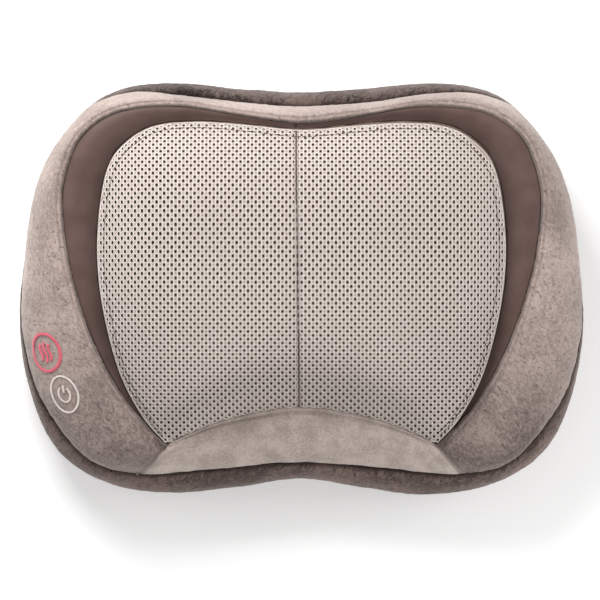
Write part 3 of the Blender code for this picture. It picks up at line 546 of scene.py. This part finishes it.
def makeBackCover():
    profiles = {}

    def surface(u, v):
        angle = 2 * math.pi * u
        if u not in profiles:
            profiles[u] = backProfile(angle)
        radius, z = alongProfile(profiles[u], v ** 0.8)
        into = radius - seam.at(angle) - 0.4
        z -= 0.5 * near(into, 1.2) if z > 45 else 0
        aside = (angle - 2 * math.pi - jack["angle"]) * radius
        radius += jack["lip"] * near(aside, jack["lipLong"]) * near(z - jack["lipZ"], 10)
        # painted shade: darker in the groove under the wing's overhang, above 45 mm
        return polar(angle, radius, z), (near(max(into, 0), 1.7) if z > 45 else 0)

    bm = mappedGrid(backCover["columns"], backCover["rows"], surface, closed=True)
    centre = [e for e in bm.edges if e.is_boundary and e.verts[0].co.xy.length < 2]
    bmesh.ops.contextual_create(bm, geom=centre)
    faceUp(bm, Vector((0, -1, -0.1)))
    displace(bm, backCover["bumps"], lambda co: ease(co.z / 12))  # the underside stays flat
    point, outward = jackFrame()
    hole = [f for f in bm.faces
            if (f.calc_center_median() - point).cross(outward).length < jack["hole"] + 0.2
            and (f.calc_center_median() - point).length < 2 * jack["hole"]]
    bmesh.ops.delete(bm, geom=hole, context="FACES")
    for v in bm.verts:
        away = v.co - point
        if v.is_boundary and away.length < 14:
            flatAway = away - outward * away.dot(outward)
            v.co = point + outward * away.dot(outward) + flatAway.normalized() * jack["hole"]
    piece = thicken(makePiece(bm, "backCover", "back"), backCover["thickness"])
    place(piece, "pillow", "plush_brown", "back_cover")
    return piece


# light plush wing, with the two pressed marks cut out as soft patches
wing = {"columns": 540, "rows": 72, "thickness": 2.0, "patchDrop": 0.7, "overhang": 3.6, "belly": 6.0,
        "hem": 3.2, "hemGroove": 0.8, "endDip": 1.6, "rollOff": 3.2, "join": 16.0, "spread": 3.6,
        "waves": [(40, 0.7)], "bumps": [(9, 0.36), (2.6, 0.32)], "patchReach": 34}
buttons = {
    "heat": {"joint": "heat_press", "node": "heat_button", "body": "heat_key"},
    "power": {"joint": "power_press", "node": "power_button", "body": "power_key"},
}


# The wing's outer line, which hides the back cover at the upper corners
def wingLine(angle):
    return seam.at(angle) + wing["spread"] * near(sideDegrees(angle) - 25, 17)


def wingProfile(angle):
    inner, line = wingInner(angle), wingLine(angle)
    top, base = pillow["wingZ"] - droop(angle), pillow["seamZ"] + 0.4
    middle = base + wing["belly"]
    curve = [(line - wing["overhang"] - 3.5, base - 1.0)]
    for k in range(6):
        b = math.pi / 2 * (1 - k / 6)
        curve.append((line - wing["overhang"] * (1 - math.cos(b)), middle - wing["belly"] * math.sin(b)))
    for k in range(17):
        b = math.pi / 2 * k / 16
        radius, z = inner + (line - inner) * math.cos(b) ** 0.96, middle + (top - middle) * math.sin(b)
        curve.append((radius, z))
    curve += [(inner - 0.9, top - 0.9), (inner - 1.1, top - 2.6), (inner + 0.4, top - 5.5)]
    return curve


def wingSurface(u, v):
    first = corner + 0.004
    angle = first + (math.pi - 2 * first) * u
    radius, z = alongProfile(wingProfile(angle), v)
    inner, line, level = wingInner(angle), wingLine(angle), pillow["wingZ"] - droop(angle)
    # painted shade in the crevice at the seam, the hem groove, the rolled inner edge and the wing's ends
    crease = near(max(z - pillow["seamZ"], 0), 2.0)
    depth = radius - inner
    if z > level - 16:
        if depth > -0.5:
            crease = max(crease, 0.45 * near(depth - wing["hem"], 0.7), 0.9 * near(depth, 0.8))
            z += 0.4 * near(depth - wing["hem"] + 1.6, 1.3)
            z -= wing["hemGroove"] * near(depth - wing["hem"], 0.9) + wing["rollOff"] * near(depth, 3.4)
        else:
            crease, z = 0.95, z - wing["rollOff"]
    end = min(angle - first, math.pi - first - angle) * radius
    join = near(end, wing["join"])
    base = pillow["seamZ"] + 0.4
    if radius > line - 8 and z < base + wing["belly"]:
        z += (base - 2.6 + 3.6 * (z - base) / wing["belly"] - z) * join
    elif depth > -0.5:
        z += (crescentHeight(angle, (line - 0.6 - radius) / (line - inner - 0.6)) - z) * join
    else:
        z += (crescentHeight(angle, 1) - level + wing["rollOff"]) * join
    z -= wing["endDip"] * near(end, 1.8)
    radius -= 0.8 * join if radius > line - 3 else 0
    return polar(angle, radius, z), max(crease, 0.7 * near(end, 0.9))


def buttonFrame(button):
    low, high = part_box(button["node"])
    joint = next(j for j in frame["joints"] if j["name"] == button["joint"])
    normal = -Vector(joint["axis"]).normalized()
    return (low + high) / 2 / mm, normal


def makeWing():
    bm = mappedGrid(wing["columns"], wing["rows"], wingSurface)
    faceUp(bm, Vector((0.3, 0.3, 1)))
    displace(bm, wing["waves"], calmCorner)
    tag = bm.faces.layers.int.new("patch")
    for number, button in enumerate(buttons.values(), 1):
        middle, normal = buttonFrame(button)
        button["apex"] = max(v.co.dot(normal) for v in bm.verts if (v.co - middle).length < 22)
        cutAt = normal * (button["apex"] - wing["patchDrop"])
        faces = [f for f in bm.faces if (f.calc_center_median() - middle).length < wing["patchReach"]]
        geom = faces + list({e for f in faces for e in f.edges} | {v for f in faces for v in f.verts})
        bmesh.ops.bisect_plane(bm, geom=geom, plane_co=cutAt, plane_no=normal, dist=1e-5)
        for f in bm.faces:
            centre = f.calc_center_median()
            if (centre - middle).length < wing["patchReach"] and (centre - cutAt).dot(normal) > 0:
                f[tag] = number
    displace(bm, wing["bumps"])
    patches = []
    for number, (name, button) in enumerate(buttons.items(), 1):
        patch = bm.copy()
        layer = patch.faces.layers.int["patch"]
        bmesh.ops.delete(patch, geom=[f for f in patch.faces if f[layer] != number], context="FACES")
        patches.append((name, button, patch))
    surface = BVHTree.FromBMesh(bm)
    bmesh.ops.delete(bm, geom=[f for f in bm.faces if f[tag]], context="FACES")
    piece = thicken(makePiece(bm, "plushWing", "plush"), wing["thickness"])
    place(piece, "pillow", "plush_taupe", "plush_cover")
    for name, button, patch in patches:
        soft = thicken(makePiece(patch, name + "Patch", "plush"), wing["thickness"])
        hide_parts(button["node"])
        dimple(soft, button)
        makeMark(name, surface)
    return piece


# Works out where the cloth would begin sinking at the patch's edge and end at the top, then bakes the piece's
# transform; nothing is set to move
def dimple(piece, button, lift=0.0):
    middle, normal = buttonFrame(button)
    foot = middle - normal * middle.dot(normal)
    start = (foot + normal * (button["apex"] - wing["patchDrop"] + 0.3 + lift)) * mm
    end = (foot + normal * (button["apex"] + 0.15 + lift)) * mm
    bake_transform(piece)


# embroidered marks on the two buttons, as runs of points in each button's own plane
def arc(radius, start, end, count=72):
    return [(radius * math.cos(math.radians(start + (end - start) * k / count)),
             radius * math.sin(math.radians(start + (end - start) * k / count))) for k in range(count + 1)]


def wave(x, height, sway, count=24):
    return [(x + sway * math.sin(2 * math.pi * k / count), height * (k / count - 0.5))
            for k in range(count + 1)]


marks = {
    "heat": {"finish": "pink", "width": 2.0, "rise": 0.35, "shift": (3.2, 1.5), "oval": (0.87, 1.08),
             "lean": 0.0, "above": 0.24, "crown": 0.06,
             "runs": [arc(12.6, 0, 360), wave(-4.0, 11.0, 0.9), wave(0, 13.5, 1.1), wave(4.0, 11.0, 0.9)]},
    "power": {"finish": "white", "width": 1.3, "rise": 0.3, "shift": (1.0, 1.2), "oval": (0.74, 1.07),
              "lean": 0.2, "above": 0.24, "crown": 0.06,
              "runs": [arc(12.8, 0, 360), arc(5.4, 125, 415), [(0, 1.2 + 0.5 * k) for k in range(11)]]},
}


# A drawn point made slightly oval along its lean, then shifted into place
def onButton(mark, p):
    c, s = math.cos(mark["lean"]), math.sin(mark["lean"])
    a, b = (p[0] * c + p[1] * s) * mark["oval"][0], (p[1] * c - p[0] * s) * mark["oval"][1]
    return Vector((a * c - b * s + mark["shift"][0], a * s + b * c + mark["shift"][1]))


# Satin-stitched ribbons laid on the plush
def makeMark(name, surface):
    mark, button = marks[name], buttons[name]
    middle, normal = buttonFrame(button)
    up = (Vector((0, 1, 0)) - normal * normal.y).normalized()
    across = up.cross(normal)
    bm = bmesh.new()
    for run in mark["runs"]:
        pts = [onButton(mark, p) for p in run]
        closed, last = (pts[0] - pts[-1]).length < 1e-6, len(pts) - 1
        ribbon = bmesh.ops.create_grid(bm, x_segments=last, y_segments=4, size=0.5)["verts"]
        for v in ribbon:
            k, share = round((v.co.x + 0.5) * last), v.co.y
            ahead = pts[(k + 1) % last] if closed else pts[min(k + 1, last)]
            behind = pts[(k - 1) % last] if closed else pts[max(k - 1, 0)]
            flat = pts[k] + (ahead - behind).normalized().orthogonal() * share * mark["width"]
            above = middle + across * flat.x + up * flat.y + normal * 12
            lift = mark["above"] + mark["crown"] * (1 - (share / 0.5) ** 2)
            v.co = surface.ray_cast(above, -normal)[0] + normal * lift
        if closed:
            bmesh.ops.remove_doubles(bm, verts=ribbon, dist=1e-4)
    bmesh.ops.recalc_face_normals(bm, faces=bm.faces)
    bmesh.ops.reverse_faces(bm, faces=[f for f in bm.faces if f.normal.dot(normal) < 0])
    piece = makePiece(bm, name + "Mark", mark["finish"])
    wall = piece.modifiers.new("thickness", "SOLIDIFY")
    wall.thickness, wall.offset, wall.use_even_offset = mark["rise"] * mm, 1.0, False
    dimple(piece, button, mark["above"] + mark["crown"] / 2)


print("covers next")
makeBackCover()
print("back cover made")
makeWing()
print("plush wing made")


# dark border panel round the mesh
border = {"columns": 620, "rows": 44, "thickness": 1.2, "under": 3.4, "puff": 2.4, "shoulder": 4.4,
          "seamX": -4.0, "bumps": [(22, 0.5), (7, 0.15)]}


def makeBorder():
    start = corner - 0.02

    def surface(u, v):
        angle = start + (math.pi - 2 * start) * u
        edge, meshSeam = wingInner(angle), meshEdge.at(angle)
        outer, inner = edge + border["under"], meshSeam - border["under"]
        high, low = pillow["wingZ"] - droop(angle), pillow["meshZ"] - droop(angle)
        width = max(edge - meshSeam, 0.5)
        radius = outer + (inner - outer) * v
        part = ease((edge - radius) / width)
        z = (high - border["shoulder"]) * (1 - part) + (low + 0.2) * part
        z -= 3.0 * near(radius - edge - 0.8, 1.1) + (2.4 if radius > edge + 1.2 else 0)
        z += border["puff"] * min(width, 30) / 30 * math.sin(math.pi * part ** 0.6)
        z -= 2.0 if radius < meshSeam - 0.5 else 0
        # painted shade: darker by the wing's edge, towards the mesh edge and along the top centre seam
        shadeByMesh = 0.6 * min(width / 12, 1) * near(max(radius - meshSeam, 0), 6.0)
        crease = max(near(max(edge - 0.7 - radius, 0), 0.9), shadeByMesh)
        made = polar(angle, radius, z)
        if made.y > 0:
            made.z -= 1.2 * near(made.x - border["seamX"], 0.8)
            crease = max(crease, 0.7 * near(made.x - border["seamX"], 0.7))
        return made, crease

    bm = mappedGrid(border["columns"], border["rows"], surface)
    faceUp(bm, Vector((0, 0.2, 1)))
    displace(bm, border["bumps"])
    length = sum(e.calc_length() for e in bm.edges if e.is_boundary) / 2 * mm
    width = sum(f.calc_area() for f in bm.faces) * mm * mm / length
    piece = thicken(makePiece(bm, "borderPanel", "satin"), border["thickness"])
    print("border strip cut", round(width, 4), "x", round(length, 4), "m")
    return place(piece, "pillow", "satin_brown", "border_panel")


# velour crescent under the mesh
crescent = {"columns": 240, "rows": 54, "thickness": 2.0, "overMesh": 1.2, "lap": 0.03,
            "under": 0.08, "over": 0.95, "stitchAt": 0.93, "stitchRow": 0.88,
            "bumps": [(26, 0.9), (8, 0.3), (2.4, 0.12)]}


def crescentSurface(u, v):
    first = math.pi - corner - crescent["lap"]
    span = 2 * (1.5 * math.pi - first)
    angle = first + span * u
    line, inner = seam.at(angle), meshEdge.at(angle) - crescent["overMesh"]
    base = pillow["seamZ"] + 0.4
    edge = min(u, 1 - u) * span - crescent["lap"] - 0.004
    end = abs(edge) * line
    dip = 1.8 * near(end, 1.6) - 0.8 * near(end - 5.5, 1.8) if edge > 0 else 1.8
    # painted shade at the panel's ends, along the stitch groove, on the turn-under and by the mesh
    ends = 0.8 * near(end, 0.9) if edge > 0 else 0.8
    if v < crescent["under"]:
        t = v / crescent["under"]
        radius = line - 4.6 + 4.0 * math.sin(t * math.pi / 2)
        return polar(angle, radius, base - 2.6 + 3.6 * t - dip * t), near(t, 1.2) * 0.9
    if v > crescent["over"]:
        t = (v - crescent["over"]) / (1 - crescent["over"])
        z = crescentHeight(angle, 1) - 3.4 * t * t - dip
        return polar(angle, inner + 0.4 - 1.2 * math.sin(t * 2.6), z), max(0.8 * t, ends)
    t = (v - crescent["under"]) / (crescent["over"] - crescent["under"])
    z = crescentHeight(angle, t) - dip - 0.6 * near(t - crescent["stitchAt"], 0.022)
    crease = max(0.45 * near(t - crescent["stitchAt"], 0.016), ends)
    return polar(angle, line - 0.6 + (inner + 1.0 - line) * t, z), crease


def makeCrescent():
    bm = mappedGrid(crescent["columns"], crescent["rows"], crescentSurface)
    faceUp(bm, Vector((0, -0.4, 1)))
    displace(bm, crescent["bumps"], calmCorner)
    piece = thicken(makePiece(bm, "crescentPanel", "velour"), crescent["thickness"])
    place(piece, "pillow", "velour_beige", "crescent_panel")
    return piece


# mesh panels
meshPanel = {
    "pitch": (5.25, 6.3), "open": 1.016, "inset": 0.38, "holeShape": (1.0, 1.12),
    "loopRise": 0.35, "valley": 0.35,
    "thickness": 0.8, "edge": 1.3,
    "seamTop": -3.6, "seamBottom": -2.0, "seamGap": 0.12, "seamDip": 1.2,
    "pitchAlongX": [(0, 5.25), (100, 5.25), (115, 4.8), (128, 4.4), (140, 4.0), (150, 3.6)],
    "pitchAlongY": [(-125, 4.9), (-72, 4.95), (-47, 5.1), (-22, 5.5), (3, 5.9), (27, 6.15),
                    (52, 6.3), (77, 5.5), (100, 4.6), (130, 4.2)],
}


# Maps distance along the cloth to distance seen from the front, where the cloth slopes away
def stretched(pitches, nominal, low, high):
    seen = np.linspace(low, high, 600)
    place = np.abs(seen) if pitches[0][0] == 0 else seen
    pitch = meshPanel["open"] * np.interp(place, *np.array(pitches).T)
    cloth = np.concatenate([[0], np.cumsum(nominal / (0.5 * (pitch[1:] + pitch[:-1])) * np.diff(seen))])
    cloth -= np.interp(0, seen, cloth)
    return cloth, seen


# How far the mesh stops short of its outline: most where the hem shows, less under the crescent
def meshInset(angle):
    extra = 1.7 * near(angle - 0.95, 0.5) + 0.7 * near(angle - 2.1, 0.5)
    return 1.0 + extra + (meshPanel["edge"] - 1.0) * ease((math.sin(angle) - math.sin(corner) + 0.06) / 0.1)


def seamX(y):
    t = ease((y + 85) / 200)
    return meshPanel["seamBottom"] + (meshPanel["seamTop"] - meshPanel["seamBottom"]) * t


def makeMeshHalf(side):
    pitchX, pitchY = meshPanel["pitch"]
    clothX = stretched(meshPanel["pitchAlongX"], pitchX, -155, 155)
    clothY = stretched(meshPanel["pitchAlongY"], pitchY, -130, 130)
    count = 110
    bm = bmesh.new()
    loop, crease = bm.verts.layers.float.new("loop"), bm.verts.layers.float.new("crease")
    bmesh.ops.create_grid(bm, x_segments=count, y_segments=count, size=count / 2)
    for v in bm.verts:
        p, q = v.co.x, v.co.y
        x = float(np.interp((p - q) * pitchX / 2, *clothX))
        y = float(np.interp((p + q) * pitchY / 2 + 1.4, *clothY))
        v.co = Vector((x, y, 0))

    def share(co):
        angle = math.atan2(co.y, co.x)
        return co.xy.length / (meshEdge.at(angle) - meshInset(angle))

    outside = [f for f in bm.faces if all(share(v.co) > 1 for v in f.verts)
               or all(side * (v.co.x - seamX(v.co.y)) < 0 for v in f.verts)
               or f.calc_area() < 0.5]
    bmesh.ops.delete(bm, geom=outside, context="FACES")
    gap = meshPanel["seamGap"]
    for v in bm.verts:
        if share(v.co) > 1:
            v.co.xy = v.co.xy / share(v.co)
        line = seamX(v.co.y) + side * gap
        if side * (v.co.x - line) < 0:
            v.co.x = line
    for v in bm.verts:
        v.co.z = dome(v.co.x, v.co.y)
    flat, area = cutSize(bm)
    for v in bm.verts:
        v.co.z = 0
    bm.normal_update()
    usual = pitchX * pitchY / 2
    bmesh.ops.dissolve_degenerate(bm, edges=bm.edges, dist=0.15)
    openings = [f for f in bm.faces if f.calc_area() > 0.36 * usual and len(f.verts) >= 3]
    before = set(bm.verts)
    bmesh.ops.inset_individual(bm, faces=openings, thickness=meshPanel["inset"], use_even_offset=True)
    across, tall = meshPanel["holeShape"]
    for f in openings:
        middle = f.calc_center_median()
        for v in f.verts:
            v.co = middle + Vector(((v.co.x - middle.x) * across, (v.co.y - middle.y) * tall, 0))
    bmesh.ops.delete(bm, geom=openings, context="FACES")
    for v in bm.verts:
        inner = v not in before
        # painted light on the raised loop verts, painted shade on the valley verts and along the middle seam
        v[loop], v[crease] = 1.0 if inner else 0.0, 0.8 * near(v.co.x - seamX(v.co.y), 0.7)
        x, y = v.co.xy
        z = dome(x, y) + (meshPanel["loopRise"] if inner else -meshPanel["valley"])
        z -= meshPanel["seamDip"] * math.exp(-((x - seamX(y)) / 1.6) ** 2)
        v.co.z = z
    bmesh.ops.recalc_face_normals(bm, faces=bm.faces)
    faceUp(bm, Vector((0, 0, 1)))
    word = "Right" if side > 0 else "Left"
    piece = thicken(makePiece(bm, "meshPanel" + word, "mesh"), meshPanel["thickness"], 1)
    print("mesh cut", word, [round(x, 4) for x in (*flat, area)])
    return place(piece, "pillow", "spacer_mesh", "mesh_panel_" + word.lower())


# The turned edge of the mesh, a narrow pale roll
def makeMeshHem():
    section = [(-0.5, 0.0), (-0.2, 0.15), (0.05, 0.05), (0.2, -0.4), (0.25, -1.6), (0.0, -2.8)]

    def surface(u, v):
        angle = corner + 0.01 + (math.pi - 2 * corner - 0.02) * u
        off, drop = alongProfile(section, v)
        off -= meshInset(angle)
        radius = meshEdge.at(angle) + off
        return polar(angle, radius, dome(radius * math.cos(angle), radius * math.sin(angle)) + drop), 0.0

    bm = mappedGrid(560, 8, surface)
    loop = bm.verts.layers.float.new("loop")
    for v in bm.verts:
        # painted light halfway between the lit loops and the shaded valleys
        v[loop] = 0.45
    faceUp(bm, Vector((0, 0, 1)))
    return place(thicken(makePiece(bm, "meshHem", "mesh"), 0.4), "pillow", "spacer_mesh")


def makeLining():
    def surface(u, v):
        angle, share = 2 * math.pi * u, 0.01 + 0.985 * v
        radius = meshEdge.at(angle) * share
        x, y = radius * math.cos(angle), radius * math.sin(angle)
        return Vector((x, y, dome(x, y) - 2.2)), 0.0

    bm = mappedGrid(160, 40, surface, closed=True)
    centre = [e for e in bm.edges if e.is_boundary and e.verts[0].co.xy.length < 5]
    bmesh.ops.contextual_create(bm, geom=centre)
    faceUp(bm, Vector((0, 0, 1)))
    flat, area = cutSize(bm)
    piece = thicken(makePiece(bm, "liningCloth", "lining"), 0.8)
    print("lining cut", [round(x, 4) for x in (*flat, area)])
    return place(piece, "pillow", "dark_lining", "lining_cloth")


makeBorder()
makeCrescent()
print("border and crescent made")
for side in (-1, 1):
    made = makeMeshHalf(side)
    print(made.name, "made")
makeMeshHem()
makeLining()


# stitching and embroidery
stitch = {"long": 3.2, "pitch": 3.9, "radius": 0.32}


# Short rounded stitches along a run of points
def stitchRow(name, finish, slot, points):
    run = np.array([tuple(p) for p in points])
    step = np.linalg.norm(np.diff(run, axis=0), axis=1)
    total = np.concatenate([[0], np.cumsum(step)])
    bm = bmesh.new()
    for k in range(int(total[-1] / stitch["pitch"])):
        a, b = (Vector([np.interp(d, total, run[:, i]) for i in range(3)])
                for d in (k * stitch["pitch"], k * stitch["pitch"] + stitch["long"]))
        turn = Vector((0, 0, 1)).rotation_difference(b - a).to_matrix().to_4x4()
        longer = Matrix.Diagonal((1, 1, (b - a).length / 2 / stitch["radius"], 1))
        bmesh.ops.create_uvsphere(bm, u_segments=6, v_segments=5, radius=stitch["radius"],
                                  matrix=Matrix.Translation((a + b) / 2) @ turn @ longer)
    return place(makePiece(bm, name, finish), "pillow", slot)


# Points on the mesh's face a set distance inside its edge
def meshLine(start, end, inset, count=200):
    points = []
    for k in range(count + 1):
        angle = start + (end - start) * k / count
        radius = meshEdge.at(angle) - meshInset(angle) - inset
        x, y = radius * math.cos(angle), radius * math.sin(angle)
        points.append((x, y, dome(x, y) + 0.4))
    return points


topLine = meshLine(corner + 0.05, math.pi - corner - 0.05, 4.6, 400)
stitchRow("meshTopstitch", "thread", "spacer_mesh", topLine)
for name, start in (("Right", corner + 0.04), ("Left", math.pi - corner - 0.62)):
    stitchRow("meshLowerStitch" + name, "thread", "dark_lining", meshLine(start, start + 0.58, 2.4, 120))
stitchV = crescent["under"] + (crescent["over"] - crescent["under"]) * crescent["stitchRow"]
crescentLine = [crescentSurface(0.03 + 0.94 * k / 200, stitchV)[0] + Vector((0, 0, 0.3)) for k in range(201)]
stitchRow("crescentTopstitch", "paleThread", "velour_beige", crescentLine)
print("stitching made")


# camera, light and floor
view = {"centre": (-0.0011, -0.0081), "width": 0.4248, "lens": 400.0, "sensor": 36.0, "level": 0.05}


def makeCamera():
    data = bpy.data.cameras.new("camera")
    data.lens, data.sensor_width, data.clip_end = view["lens"], view["sensor"], 20
    camera = bpy.data.objects.new("camera", data)
    distance = view["width"] * view["lens"] / view["sensor"]
    camera.location = (*view["centre"], view["level"] + distance)
    bpy.context.scene.collection.objects.link(camera)
    bpy.context.scene.camera = camera


def softLight(name, position, target, size, power):
    data = bpy.data.lights.new(name, "AREA")
    data.shape, data.size, data.energy = "SQUARE", size, power
    lamp = bpy.data.objects.new(name, data)
    lamp.location = position
    lamp.rotation_euler = (Vector(target) - Vector(position)).to_track_quat("-Z", "Y").to_euler()
    bpy.context.scene.collection.objects.link(lamp)


stage = {
    "glow": 0.245, "sky": 0.32, "floorZ": -0.0005,
    "lights": [("key", (-0.34, 0.72, 0.70), (0, 0, 0.05), 0.5, 11.3),
               ("sideFill", (0.95, 0.1, 0.5), (0, 0, 0.05), 0.5, 3.1),
               ("farFill", (-0.95, 0.1, 0.45), (0, 0, 0.05), 0.5, 1.5),
               ("lowFill", (0.5, -0.75, 0.6), (0, -0.1, 0.05), 0.6, 3.2)],
}


def makeStage():
    f = Finish("paleFloor", 0.9)
    f.set("Base Color", f.mix(f.noise(3, 2.0), (0.90, 0.90, 0.90), (0.93, 0.93, 0.93)))
    f.set("Emission Color", (1.0, 1.0, 1.0))
    f.set("Emission Strength", stage["glow"])
    bm = bmesh.new()
    bmesh.ops.create_grid(bm, x_segments=1, y_segments=1, size=4.0)
    mesh = bpy.data.meshes.new("floor")
    bm.to_mesh(mesh)
    bm.free()
    mesh.materials.append(f.material)
    floor = bpy.data.objects.new("floor", mesh)
    floor.location.z = stage["floorZ"]
    bpy.context.scene.collection.objects.link(floor)
    world = bpy.data.worlds.new("studio")
    world.use_nodes = True
    sky = world.node_tree.nodes["Background"]
    sky.inputs["Color"].default_value = (1.0, 0.99, 0.98, 1)
    sky.inputs["Strength"].default_value = stage["sky"]
    bpy.context.scene.world = world
    for name, position, target, size, power in stage["lights"]:
        softLight(name, position, target, size, power)
    bpy.context.scene.view_settings.view_transform = "Standard"


makeCamera()
makeStage()

for node in frame["nodes"].values():
    slot = next(s["material_slot"] for s in record["subparts"] if s["node"] == node.name)
    if slot in slotFinishes:
        node.data.materials.clear()
        node.data.materials.append(slotFinishes[slot])
print("frame finished")
